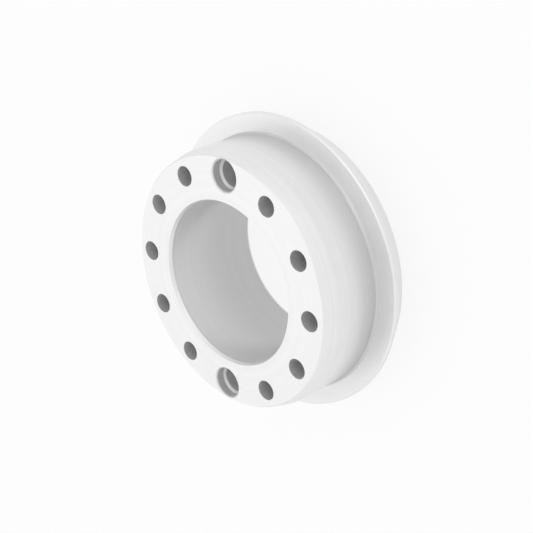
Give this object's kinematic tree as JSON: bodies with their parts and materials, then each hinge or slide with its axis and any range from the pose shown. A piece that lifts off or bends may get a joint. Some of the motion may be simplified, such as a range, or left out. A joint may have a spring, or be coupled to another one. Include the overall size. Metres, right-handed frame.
{
  "type": "companion flange",
  "caption": "Thick steel companion flange: drilled nose face, tapered nose, plain through-bore and a thin wide rim behind.",
  "frame": {"origin": "centre of the bore at the back face, on which the part rests", "axes": "+Z along the bore axis towards the nose face, +Y from the bore axis towards one stepped hole"},
  "size_m": [0.1794, 0.1794, 0.0658],
  "materials": {
    "flange_body": "fine-turned pale steel, satin"
  },
  "bodies": {
    "root": {"flange_body": "flange_body"}
  },
  "joints": []
}
